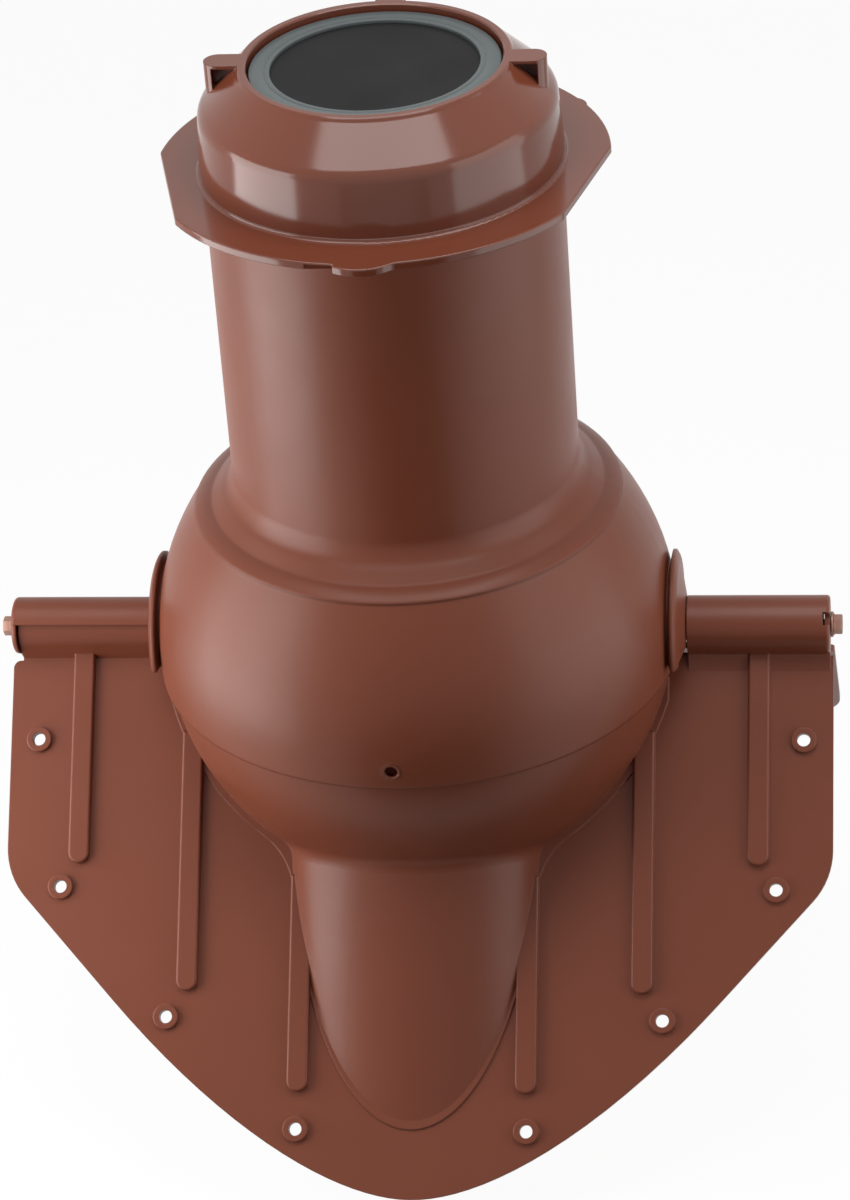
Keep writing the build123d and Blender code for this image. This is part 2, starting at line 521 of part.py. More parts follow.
def collar():
    """Collar with its flange, shoulder, lip, ledge, ears and lug."""
    body = revolve(collar_profile(), Axis.Z)
    flange = Pos(0, 0, COLLAR_FOOT) * extrude(flange_outline(), FLANGE)
    body += fillet(flange.edges().group_by(Axis.Z)[-1], FLANGE_ROUND)
    top = COLLAR_FOOT + FLANGE
    middle = (COLLAR_FOOT_R + FOOT_ROUND, 0, top + FOOT_ROUND)
    corner = make_face(Curve() + [
        Polyline((COLLAR_FOOT_R + FOOT_ROUND, 0, top), (COLLAR_FOOT_R - FOOT_ROUND, 0, top),
                 (COLLAR_FOOT_R - FOOT_ROUND, 0, top + FOOT_ROUND), (COLLAR_FOOT_R, 0, top + FOOT_ROUND)),
        ThreePointArc((COLLAR_FOOT_R, 0, top + FOOT_ROUND),
                      (middle[0] - FOOT_ROUND * sqrt(0.5), 0, middle[2] - FOOT_ROUND * sqrt(0.5)),
                      (COLLAR_FOOT_R + FOOT_ROUND, 0, top))])
    body += revolve(corner, Axis.Z)
    for angle in EAR_ANGLES:
        body += Rot(0, 0, angle) * ear()
    body -= block(LUG_END - LUG_SLOT, LUG_END, -FLANGE_R - LUG_PROUD, LUG_SLOT_DEPTH - FLANGE_R,
                  COLLAR_FOOT - OVERCUT, top - LUG_SLOT_TOP)
    return body - revolve(collar_hollow(), Axis.Z)


def ear_plan():
    """An ear seen from above, with a round outer end, joined to the lip's ring."""
    middle = EAR_REACH - EAR_WIDTH / 2
    ear_face = Pos(middle / 2, 0) * Rectangle(middle, EAR_WIDTH) + Pos(middle, 0) * Circle(EAR_WIDTH / 2)
    return Sketch() + ear_face


def ear():
    """Hook ear at the lip, on the +X side, recessed below its top from both sides."""
    cone = Polyline(
        (0, 0, COLLAR_EDGE - COLLAR_ROUND), (COLLAR_TOP_R - COLLAR_WALL, 0, COLLAR_EDGE - COLLAR_ROUND),
        (COLLAR_TOP_R - COLLAR_WALL, 0, COLLAR_EDGE - LIP_STEP), (LIP_R, 0, LIP_TOP - 2 * LIP_DROP),
        (0, 0, LIP_TOP - 2 * LIP_DROP), close=True)
    solid = Pos(0, 0, COLLAR_EDGE - COLLAR_ROUND) * extrude(ear_plan(), LIP_TOP - COLLAR_EDGE + COLLAR_ROUND)
    solid -= revolve(make_face(cone), Axis.Z)
    solid &= Cylinder(EAR_REACH + OVERCUT, 2 * LIP_TOP) - Cylinder(LIP_R - LIP_STEP, 3 * LIP_TOP)
    recess = block(LIP_R + LIP_STEP, EAR_REACH - EAR_WALL, EAR_WEB / 2, EAR_WIDTH, 0, LIP_TOP - EAR_TOP)
    shoulder = revolve(collar_profile(), Axis.Z)
    recess -= shoulder
    return solid - recess - mirror(recess, Plane.XZ)


def seal_membrane():
    """Rubber sheet that closes the collar until a pipe is passed through it."""
    return Pos(0, 0, SEAL_SEAT + MEMBRANE / 2) * Cylinder(LIP_R - LIP_WALL - SEAL_GAP, MEMBRANE)


def seal_clamp_ring():
    """Flat ring that holds the membrane down on its ledge."""
    ring = Cylinder(LIP_R - LIP_WALL - SEAL_GAP, CLAMP) - Cylinder(RING_BORE_R, 2 * CLAMP)
    return Pos(0, 0, SEAL_TOP - CLAMP / 2) * ring


def hinge_bolt():
    """Hinge bolt on the +X side, head outwards."""
    head_x = KNUCKLE_END + SEAT_GAP + WASHER
    tip_x = BALL_INSIDE_FLAT - WASHER - NUT - BOLT_SPARE
    prism = Pos(head_x, 0, 0) * Rot(0, 90, 0) * extrude(
        RegularPolygon(HEAD_FLATS / 2, 6, major_radius=False), HEAD)
    crown = Pos(head_x, 0, 0) * Rot(0, 90, 0) * Cone(
        HEAD_FLATS / 2 + 2 * HEAD, HEAD_FLATS / 2 - HEAD_CROWN / 4, HEAD,
        align=(Align.CENTER, Align.CENTER, Align.MIN))
    return (prism & crown) + rod(BOLT_R, tip_x, head_x + BOLT_CLEAR)


def washer(x0):
    """Flat washer on the hinge line, from x0 outwards."""
    return rod(WASHER_R, x0, x0 + WASHER) - rod(BOLT_R + BOLT_CLEAR / 3, x0 - OVERCUT, x0 + WASHER + OVERCUT)


def lock_nut():
    """Nut on the inner end of a hinge bolt, on the +X side."""
    x0 = BALL_INSIDE_FLAT - WASHER - NUT
    prism = Pos(x0, 0, 0) * Rot(0, 90, 0) * extrude(
        RegularPolygon(HEAD_FLATS / 2, 6, major_radius=False), NUT)
    return prism - rod(BOLT_R, x0 - OVERCUT, x0 + NUT + OVERCUT)


def collar_gasket():
    """Rubber ring that seals the collar's spigot in the pipe."""
    ring = Cylinder(SOCKET_R, GASKET_HEIGHT) - Cylinder(SOCKET_R - GASKET, 2 * GASKET_HEIGHT)
    return Pos(0, 0, NECK_TOP - GASKET_DROP) * ring


def with_groove(body):
    """The collar with the groove that holds its gasket."""
    groove = Cylinder(SOCKET_R + OVERCUT, GASKET_HEIGHT) - Cylinder(SOCKET_R - GASKET, 2 * GASKET_HEIGHT)
    return body - Pos(0, 0, NECK_TOP - GASKET_DROP) * groove


def nodes():
    """Every separate piece by name."""
    turn = Rot(0, 0, 180)
    bolt, nut = hinge_bolt(), lock_nut()
    head_washer = washer(KNUCKLE_END + SEAT_GAP)
    nut_washer = washer(BALL_INSIDE_FLAT - WASHER)
    return {
        "front_wing": front_wing(),
        "rear_wing": rear_wing(),
        "dome_pipe": dome_pipe(),
        "collar": with_groove(collar()),
        "collar_gasket": collar_gasket(),
        "seal_membrane": seal_membrane(),
        "seal_clamp_ring": seal_clamp_ring(),
        "hinge_bolt_right": bolt,
        "hinge_bolt_left": turn * bolt,
        "head_washer_right": head_washer,
        "head_washer_left": turn * head_washer,
        "nut_washer_right": nut_washer,
        "nut_washer_left": turn * nut_washer,
        "lock_nut_right": nut,
        "lock_nut_left": turn * nut,
    }


os.makedirs("parts", exist_ok=True)
for name, solid in nodes().items():
    export_step(solid, f"parts/{name}.step")
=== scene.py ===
"""Looks of the ridge vent pipe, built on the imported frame."""
import logging
from collections.abc import Callable
from dataclasses import dataclass
from enum import Enum
from math import cos, pi, radians, sin, sqrt
from typing import ClassVar

import bmesh
import bpy
from mathutils import Matrix, Vector


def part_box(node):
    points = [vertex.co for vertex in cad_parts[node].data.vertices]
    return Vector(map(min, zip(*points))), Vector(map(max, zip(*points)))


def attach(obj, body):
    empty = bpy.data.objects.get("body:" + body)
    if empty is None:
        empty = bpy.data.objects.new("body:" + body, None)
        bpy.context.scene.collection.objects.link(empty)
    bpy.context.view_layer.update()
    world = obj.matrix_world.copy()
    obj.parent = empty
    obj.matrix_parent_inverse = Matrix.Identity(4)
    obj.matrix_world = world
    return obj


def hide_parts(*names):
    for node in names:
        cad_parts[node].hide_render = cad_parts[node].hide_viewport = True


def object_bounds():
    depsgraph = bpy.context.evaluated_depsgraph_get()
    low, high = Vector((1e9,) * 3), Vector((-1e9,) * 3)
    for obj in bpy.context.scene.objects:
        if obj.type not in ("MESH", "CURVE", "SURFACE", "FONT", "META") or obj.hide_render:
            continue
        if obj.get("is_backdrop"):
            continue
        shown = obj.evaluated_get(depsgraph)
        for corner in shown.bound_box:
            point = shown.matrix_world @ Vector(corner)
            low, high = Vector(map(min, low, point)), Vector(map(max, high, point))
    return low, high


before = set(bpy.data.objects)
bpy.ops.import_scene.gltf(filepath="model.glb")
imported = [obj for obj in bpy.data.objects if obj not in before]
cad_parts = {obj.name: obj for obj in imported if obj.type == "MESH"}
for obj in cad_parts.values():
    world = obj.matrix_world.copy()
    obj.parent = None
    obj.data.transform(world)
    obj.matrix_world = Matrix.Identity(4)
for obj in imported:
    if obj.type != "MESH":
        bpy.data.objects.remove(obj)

MM = 0.001
END_FACE = 0.9     # how squarely a face has to look along the line to count as its end
FLAT_FACE = 0.99   # the same, for the flat left inside a bevelled end
LOG = logging.getLogger("ridge_vent_pipe")


class Body(Enum):
    """The parts that move as one, by their names in the frame."""

    PIPE = "pipe"
    FRONT = "front_roof_wing"
    REAR = "rear_roof_wing"


class Slot(Enum):
    """The record's material slots, by their names there."""

    ROOF = "roof_plastic"
    COLLAR = "collar_plastic"
    RUBBER = "black_rubber"
    RING = "grey_plastic"
    COATED = "coated_steel"
    ZINC = "plain_steel"


class Line(Enum):
    """The two lines that turned pieces lie on."""

    RIDGE = (1.0, 0.0, 0.0)
    UPRIGHT = (0.0, 0.0, 1.0)


@dataclass(frozen=True)
class Finish:
    """A moulded plastic, rubber or metal finish.

    The colour wanders a little over the surface, the sheen varies, and a fine grain lies over
    edges that are softened by a small radius.
    """

    name: str
    colour: tuple[float, float, float]
    roughness: float = 0.4
    sheen_spread: float = 0.05
    colour_spread: float = 0.05
    specular: float = 0.32
    metallic: float = 0.0
    grain_scale: float = 900.0
    grain_depth: float = 0.05
    edge_radius: float = 0.6 * MM
    drift_scale: float = 9.0

    DRIFT_DETAIL: ClassVar[float] = 3.0
    CLOUD_SCALE: ClassVar[float] = 22.0
    CLOUD_DETAIL: ClassVar[float] = 4.0
    GRAIN_DETAIL: ClassVar[float] = 2.0
    GRAIN_HEIGHT: ClassVar[float] = 0.2 * MM
    NOISE_SPAN: ClassVar[tuple[float, float]] = (0.3, 0.7)
    EDGE_SAMPLES: ClassVar[int] = 6

    def make(self) -> bpy.types.Material:
        """Builds the material's nodes.

        Returns:
            The new material.
        """
        material = bpy.data.materials.new(self.name)
        material.use_nodes = True
        tree = material.node_tree
        tree.nodes.clear()
        output = tree.nodes.new("ShaderNodeOutputMaterial")
        shader = tree.nodes.new("ShaderNodeBsdfPrincipled")
        place = tree.nodes.new("ShaderNodeTexCoord")
        tree.links.new(shader.outputs["BSDF"], output.inputs["Surface"])
        shader.inputs["Metallic"].default_value = self.metallic
        shader.inputs["Specular IOR Level"].default_value = self.specular
        self._colour(tree, shader, place)
        self._sheen(tree, shader, place)
        self._grain(tree, shader, place)
        return material

    @staticmethod
    def _noise(tree: bpy.types.NodeTree, place: bpy.types.Node, scale: float,
               detail: float) -> bpy.types.Node:
        """Adds a noise on object coordinates.

        Args:
            tree: The material's nodes.
            place: The texture coordinate node.
            scale: How fine the noise is.
            detail: How many finer layers it has.

        Returns:
            The noise node.
        """
        noise = tree.nodes.new("ShaderNodeTexNoise")
        noise.inputs["Scale"].default_value = scale
        noise.inputs["Detail"].default_value = detail
        tree.links.new(place.outputs["Object"], noise.inputs["Vector"])
        return noise

    def _colour(self, tree: bpy.types.NodeTree, shader: bpy.types.Node, place: bpy.types.Node) -> None:
        """Lets the colour wander between a darker and a lighter tone.

        Args:
            tree: The material's nodes.
            shader: The surface shader.
            place: The texture coordinate node.
        """
        drift = self._noise(tree, place, self.drift_scale, self.DRIFT_DETAIL)
        ramp = tree.nodes.new("ShaderNodeValToRGB")
        low, high = ramp.color_ramp.elements
        low.position, high.position = self.NOISE_SPAN
        low.color = (*(part * (1 - self.colour_spread) for part in self.colour), 1)
        high.color = (*(part * (1 + self.colour_spread) for part in self.colour), 1)
        tree.links.new(drift.outputs["Fac"], ramp.inputs["Fac"])
        tree.links.new(ramp.outputs["Color"], shader.inputs["Base Color"])

    def _sheen(self, tree: bpy.types.NodeTree, shader: bpy.types.Node, place: bpy.types.Node) -> None:
        """Varies the roughness over the surface.

        Args:
            tree: The material's nodes.
            shader: The surface shader.
            place: The texture coordinate node.
        """
        cloud = self._noise(tree, place, self.CLOUD_SCALE, self.CLOUD_DETAIL)
        span = tree.nodes.new("ShaderNodeMapRange")
        span.inputs["From Min"].default_value, span.inputs["From Max"].default_value = self.NOISE_SPAN
        span.inputs["To Min"].default_value = self.roughness - self.sheen_spread
        span.inputs["To Max"].default_value = self.roughness + self.sheen_spread
        tree.links.new(cloud.outputs["Fac"], span.inputs["Value"])
        tree.links.new(span.outputs["Result"], shader.inputs["Roughness"])

    def _grain(self, tree: bpy.types.NodeTree, shader: bpy.types.Node, place: bpy.types.Node) -> None:
        """Lays a fine moulding grain over softened edges.

        Args:
            tree: The material's nodes.
            shader: The surface shader.
            place: The texture coordinate node.
        """
        edge = tree.nodes.new("ShaderNodeBevel")
        edge.samples = self.EDGE_SAMPLES
        edge.inputs["Radius"].default_value = self.edge_radius
        bump = tree.nodes.new("ShaderNodeBump")
        bump.inputs["Strength"].default_value = self.grain_depth
        bump.inputs["Distance"].default_value = self.GRAIN_HEIGHT
        grain = self._noise(tree, place, self.grain_scale, self.GRAIN_DETAIL)
        tree.links.new(edge.outputs["Normal"], bump.inputs["Normal"])
        tree.links.new(grain.outputs["Fac"], bump.inputs["Height"])
        tree.links.new(bump.outputs["Normal"], shader.inputs["Normal"])


RED_BROWN = (0.174, 0.047, 0.024)
ROOF_PLASTIC = Finish("roof_plastic_satin", RED_BROWN, roughness=0.38, specular=0.27)
PIPE_PLASTIC = Finish("pipe_plastic_satin", RED_BROWN, roughness=0.38, specular=0.27, edge_radius=2.4 * MM)
# The collar is the same red-brown plastic as the roof, set a little darker: the extra darkness is painted
# shade, standing in for the shade on the front of its wall.
COLLAR_BROWN_PAINTED_SHADE = (0.155, 0.041, 0.021)
COLLAR_PLASTIC = Finish("collar_plastic_gloss", COLLAR_BROWN_PAINTED_SHADE, roughness=0.14, sheen_spread=0.02,
                        specular=0.4, grain_depth=0.01)
SEAL_RUBBER = Finish("seal_rubber", (0.009, 0.009, 0.0092), roughness=0.6, specular=0.12, grain_depth=0.3,
                     colour_spread=0.15, drift_scale=40.0, edge_radius=0.3 * MM)
RING_PLASTIC = Finish("ring_plastic", (0.082, 0.096, 0.097), roughness=0.4, edge_radius=0.3 * MM)
COATED_STEEL = Finish("coated_steel", (0.30, 0.15, 0.11), roughness=0.35, specular=0.5, metallic=0.3,
                      edge_radius=0.25 * MM)
ZINC_STEEL = Finish("zinc_steel", (0.55, 0.56, 0.55), roughness=0.35, metallic=1.0, edge_radius=0.25 * MM)


class Workshop:
    """Ways of making a piece that several sub-assemblies share."""

    SEGMENTS: ClassVar[int] = 96
    MERGE: ClassVar[float] = 0.001 * MM
    SMOOTH_ANGLE: ClassVar[float] = radians(35)

    @classmethod
    def turned(cls, name: str, line: Line, stations: list[tuple[float, float]],
               solid: bool) -> bpy.types.Object:
        """Turns a piece on the lathe, ring by ring.

        Args:
            name: The piece's name.
            line: The line that it is turned about.
            stations: Places along that line, each with its radius.
            solid: True for a bar with closed ends, False for a ring whose last station is its first.

        Returns:
            The finished mesh object.
        """
        along = Vector(line.value)
        tilt = (0.0, pi / 2, 0.0) if line is Line.RIDGE else (0.0, 0.0, 0.0)
        at, radius = stations[0]
        bpy.ops.object.select_all(action="DESELECT")
        bpy.ops.mesh.primitive_circle_add(vertices=cls.SEGMENTS, radius=radius, location=along * at,
                                          rotation=tilt, fill_type="NGON" if solid else "NOTHING")
        piece = cls.rest(name)
        bpy.ops.object.mode_set(mode="EDIT")
        bpy.ops.mesh.select_mode(type="EDGE")
        bpy.ops.mesh.select_all(action="SELECT")
        for next_at, next_radius in stations[1:]:
            factor = next_radius / radius
            bpy.ops.mesh.extrude_region_move(TRANSFORM_OT_translate={"value": along * (next_at - at)})
            scale = tuple(1.0 if part else factor for part in along)
            bpy.ops.transform.resize(value=scale, center_override=along * next_at)
            at, radius = next_at, next_radius
        cls.close(piece)
        return piece

    @staticmethod
    def rest(name: str) -> bpy.types.Object:
        """Names the new primitive and puts its place into its mesh.

        Args:
            name: The piece's name.

        Returns:
            The object, at the origin and unturned.
        """
        piece = bpy.context.active_object
        piece.name = piece.data.name = name
        bpy.ops.object.transform_apply(location=True, rotation=True, scale=True)
        return piece

    @classmethod
    def close(cls, piece: bpy.types.Object) -> None:
        """Merges what lies together, turns the faces outwards and smooths the round ones.

        Args:
            piece: The object in edit mode.
        """
        bpy.ops.mesh.select_all(action="SELECT")
        bpy.ops.mesh.remove_doubles(threshold=cls.MERGE)
        bpy.ops.mesh.normals_make_consistent(inside=False)
        bpy.ops.object.mode_set(mode="OBJECT")
        bpy.ops.object.shade_smooth_by_angle(angle=cls.SMOOTH_ANGLE)

    @staticmethod
    def pick_faces(piece: bpy.types.Object, wanted: Callable[[bmesh.types.BMFace], bool]) -> None:
        """Selects the faces that pass a test, and no others.

        Args:
            piece: The object in edit mode.
            wanted: Says whether a face is wanted.
        """
        bpy.ops.mesh.select_mode(type="FACE")
        bpy.ops.mesh.select_all(action="DESELECT")
        mesh = bmesh.from_edit_mesh(piece.data)
        for face in mesh.faces:
            face.select_set(wanted(face))
        bmesh.update_edit_mesh(piece.data)

    @staticmethod
    def joined(name: str, pieces: list[bpy.types.Object]) -> bpy.types.Object:
        """Joins several pieces into one.

        Args:
            name: The new piece's name.
            pieces: What it is joined from.

        Returns:
            The one object.
        """
        bpy.ops.object.select_all(action="DESELECT")
        for piece in pieces:
            piece.select_set(True)
        bpy.context.view_layer.objects.active = pieces[0]
        bpy.ops.object.join()
        pieces[0].name = pieces[0].data.name = name
        return pieces[0]

    @staticmethod
    def opposite(piece: bpy.types.Object, name: str) -> bpy.types.Object:
        """Copies a piece to the other end of the ridge, turned half round the pipe's axis.

        Args:
            piece: The piece to copy.
            name: The copy's name.

        Returns:
            The copy, with a mesh of its own.
        """
        twin = piece.copy()
        twin.data = piece.data.copy()
        twin.name = twin.data.name = name
        bpy.context.scene.collection.objects.link(twin)
        twin.data.transform(Matrix.Rotation(pi, 4, "Z"))
        return twin

    @staticmethod
    def finish(piece: bpy.types.Object, material: bpy.types.Material, slot: Slot, node: str) -> None:
        """Dresses a new piece that rides on the pipe in place of a node.

        Args:
            piece: The new piece.
            material: What it wears.
            slot: The record's slot that its finish belongs to; not used.
            node: The node that it stands for.
        """
        Dressing.dress(piece, material)
        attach(piece, Body.PIPE.value)
        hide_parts(node)
        LOG.info("%s stands for %s, %d faces", piece.name, node, len(piece.data.polygons))


@dataclass
class HingeFastener:
    """The bolt, washers and lock nut at each end of the hinge line.

    The crown is how far the hexagons' corners are turned down, and the dish the shallow sink in their ends.
    """

    flats: float = 8.0 * MM
    flange_radius: float = 5.2 * MM
    flange: float = 0.8 * MM
    crown: float = 0.5 * MM
    dish: float = 1.1 * MM
    dish_depth: float = 0.35 * MM
    shank_radius: float = 2.5 * MM
    thread_depth: float = 0.3 * MM
    thread_pitch: float = 0.8 * MM
    thread_length: float = 16.0 * MM
    washer_radius: float = 6.0 * MM
    washer_bore: float = 2.6 * MM
    edge: float = 0.25 * MM
    crown_segments: int = 3

    def build(self) -> None:
        """Models one end's fasteners and copies them to the other end."""
        steel, zinc = COATED_STEEL.make(), ZINC_STEEL.make()
        ends = (("hinge_bolt", self.bolt(), steel, Slot.COATED),
                ("head_washer", self.washer("head_washer"), steel, Slot.COATED),
                ("nut_washer", self.washer("nut_washer"), zinc, Slot.ZINC),
                ("lock_nut", self.nut(), zinc, Slot.ZINC))
        for name, piece, material, slot in ends:
            twin = Workshop.opposite(piece, f"{name}_left_turned")
            Workshop.finish(piece, material, slot, f"{name}_right")
            Workshop.finish(twin, material, slot, f"{name}_left")

    def prism(self, name: str, low: float, high: float, outer_only: bool) -> bpy.types.Object:
        """Models a hexagon with its corners turned down.

        Args:
            name: The piece's name.
            low: Its inner end on the hinge line.
            high: Its outer end.
            outer_only: True if only the outer end is turned down.

        Returns:
            The hexagon.
        """
        bpy.ops.object.select_all(action="DESELECT")
        bpy.ops.mesh.primitive_cylinder_add(vertices=6, radius=self.flats / sqrt(3), depth=high - low,
                                            location=((low + high) / 2, 0, 0), rotation=(0, pi / 2, 0))
        piece = Workshop.rest(name)
        bpy.ops.object.mode_set(mode="EDIT")
        for way in (1,) if outer_only else (1, -1):
            Workshop.pick_faces(piece, lambda face: face.normal.x * way > END_FACE)
            bpy.ops.mesh.bevel(offset=self.crown, segments=self.crown_segments, affect="EDGES")
            Workshop.pick_faces(piece, lambda face: face.normal.x * way > FLAT_FACE)
            bpy.ops.mesh.inset(thickness=self.dish)
            bpy.ops.transform.translate(value=(-way * self.dish_depth, 0, 0))
        Workshop.close(piece)
        return piece

    def bolt(self) -> bpy.types.Object:
        """Models a flanged hex bolt whose inner end is threaded.

        Returns:
            The bolt on the +X side.
        """
        low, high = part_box("hinge_bolt_right")
        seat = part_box("head_washer_right")[1][0]
        root = self.shank_radius - self.thread_depth
        flange = Workshop.turned("bolt_flange", Line.RIDGE, [
            (seat, self.flange_radius - self.edge), (seat + self.edge, self.flange_radius),
            (seat + self.flange / 2, self.flange_radius), (seat + self.flange, self.flats / 2)], True)
        stations = [(low[0], root - self.edge), (low[0] + self.edge, root)]
        at = low[0] + self.thread_pitch
        while at < low[0] + self.thread_length:
            stations += [(at, self.shank_radius), (at + self.thread_pitch / 2, root)]
            at += self.thread_pitch
        stations += [(at, self.shank_radius), (seat + self.edge, self.shank_radius)]
        shank = Workshop.turned("bolt_shank", Line.RIDGE, stations, True)
        head = self.prism("bolt_head", seat + self.flange / 2, high[0], True)
        return Workshop.joined("hinge_bolt_right_turned", [head, flange, shank])

    def washer(self, name: str) -> bpy.types.Object:
        """Models a flat washer with rolled edges.

        Args:
            name: The name of its nodes, without the end.

        Returns:
            The washer on the +X side.
        """
        low, high = (corner[0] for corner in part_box(f"{name}_right"))
        edge, outer, bore = self.edge, self.washer_radius, self.washer_bore
        return Workshop.turned(f"{name}_right_turned", Line.RIDGE, [
            (low, bore), (low, outer - edge), (low + edge, outer), (high - edge, outer), (high, outer - edge),
            (high, bore + edge), (high - edge, bore), (low, bore)], False)

    def nut(self) -> bpy.types.Object:
        """Models a lock nut with a raised insert ring.

        Returns:
            The nut on the +X side.
        """
        low, high = (corner[0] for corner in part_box("lock_nut_right"))
        insert = (high - low) / 4
        hexagon = self.prism("nut_hexagon", low + insert, high, False)
        radius = self.flats / 2 - self.edge
        top, bore = low + 2 * insert, self.shank_radius
        ring = Workshop.turned("nut_ring", Line.RIDGE, [
            (low, bore), (low, radius - insert / 2), (low + insert / 2, radius), (top, radius),
            (top, bore), (low, bore)], False)
        return Workshop.joined("lock_nut_right_turned", [hexagon, ring])


@dataclass
class Seal:
    """The rubber membrane and the grey ring that holds it down."""

    ring_edge: float = 0.45 * MM
    ring_groove: float = 0.25 * MM
    groove_width: float = 0.8 * MM
    ring_bore: float = 46.3 * MM
    rim_gap: float = 0.7 * MM
    rim_round: float = 0.3 * MM
    centre_radius: float = 1.8 * MM
    corner_share: float = 0.3

    def build(self) -> None:
        """Models the membrane and the ring."""
        Workshop.finish(self.membrane(), SEAL_RUBBER.make(), Slot.RUBBER, "seal_membrane")
        Workshop.finish(self.ring(), RING_PLASTIC.make(), Slot.RING, "seal_clamp_ring")

    def membrane(self) -> bpy.types.Object:
        """Models the flat membrane with its rounded rim.

        Returns:
            The membrane.
        """
        low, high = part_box("seal_membrane")
        foot, top, outer, rim = low[2], high[2], high[0], self.rim_round
        return Workshop.turned("seal_membrane_moulded", Line.UPRIGHT, [
            (foot, outer - rim), (foot + rim, outer), (top - rim, outer), (top, outer - rim),
            (top, self.ring_bore), (top, self.centre_radius)], True)

    def ring(self) -> bpy.types.Object:
        """Models the ring with rounded edges and a fine groove near its bore.

        Each rounding has one station between its ends, at a share of its radius from both faces.

        Returns:
            The ring.
        """
        low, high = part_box("seal_clamp_ring")
        foot, top, outer = low[2], high[2], high[0] - self.rim_gap
        edge, bore = self.ring_edge, self.ring_bore
        corner, groove = edge * self.corner_share, bore + 3 * self.groove_width
        return Workshop.turned("seal_clamp_ring_moulded", Line.UPRIGHT, [
            (foot, outer), (top - edge, outer), (top - corner, outer - corner), (top, outer - edge),
            (top, groove + self.groove_width), (top - self.ring_groove, groove + self.groove_width / 2),
            (top, groove), (top, bore + edge), (top - corner, bore + corner), (top - edge, bore),
            (foot, bore), (foot, outer)], False)


@dataclass
class Dressing:
    """Which finish each piece of the frame wears."""

    wings: tuple[str, ...] = ("front_wing", "rear_wing")
    pipe: tuple[str, ...] = ("dome_pipe",)
    collar: tuple[str, ...] = ("collar",)
    rubber: tuple[str, ...] = ("collar_gasket",)

    def apply(self) -> None:
        """Gives every frame piece its finish."""
        pairs = ((ROOF_PLASTIC, self.wings), (PIPE_PLASTIC, self.pipe), (COLLAR_PLASTIC, self.collar),
                 (SEAL_RUBBER, self.rubber))
        for finish, names in pairs:
            material = finish.make()
            for name in names:
                self.dress(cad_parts[name], material)
                LOG.info("%s wears %s", name, finish.name)

    @staticmethod
    def dress(piece: bpy.types.Object, material: bpy.types.Material) -> None:
        """Puts one material on the whole of a piece.

        Args:
            piece: The piece to dress.
            material: What it wears.
        """
        piece.data.materials.clear()
        piece.data.materials.append(material)


def grey(tone: float) -> tuple[float, float, float, float]:
    """Gives a neutral colour.

    Args:
        tone: How light it is.

    Returns:
        The colour with full cover.
    """
    return tone, tone, tone, 1.0


@dataclass(frozen=True)
class SoftBox:
    """A soft box, placed round the object as the camera sees it."""

    name: str
    azimuth: float
    height: float
    reach: float
    width: float
    length: float
    brightness: float
    aim: tuple[float, float, float] = (0.0, 0.0, 0.1)

    def hang(self) -> None:
        """Hangs the lamp."""
        data = bpy.data.lights.new(self.name, "AREA")
        data.shape = "RECTANGLE"
        data.size, data.size_y = self.width, self.length
        data.energy = self.brightness * pi * self.width * self.length
        lamp = bpy.data.objects.new(self.name, data)
        angle = radians(self.azimuth)
        lamp.location = (self.reach * sin(angle), -self.reach * cos(angle), self.height)
        lamp.rotation_euler = (Vector(self.aim) - lamp.location).to_track_quat("-Z", "Y").to_euler()
        lamp.visible_camera = False
        bpy.context.scene.collection.objects.link(lamp)


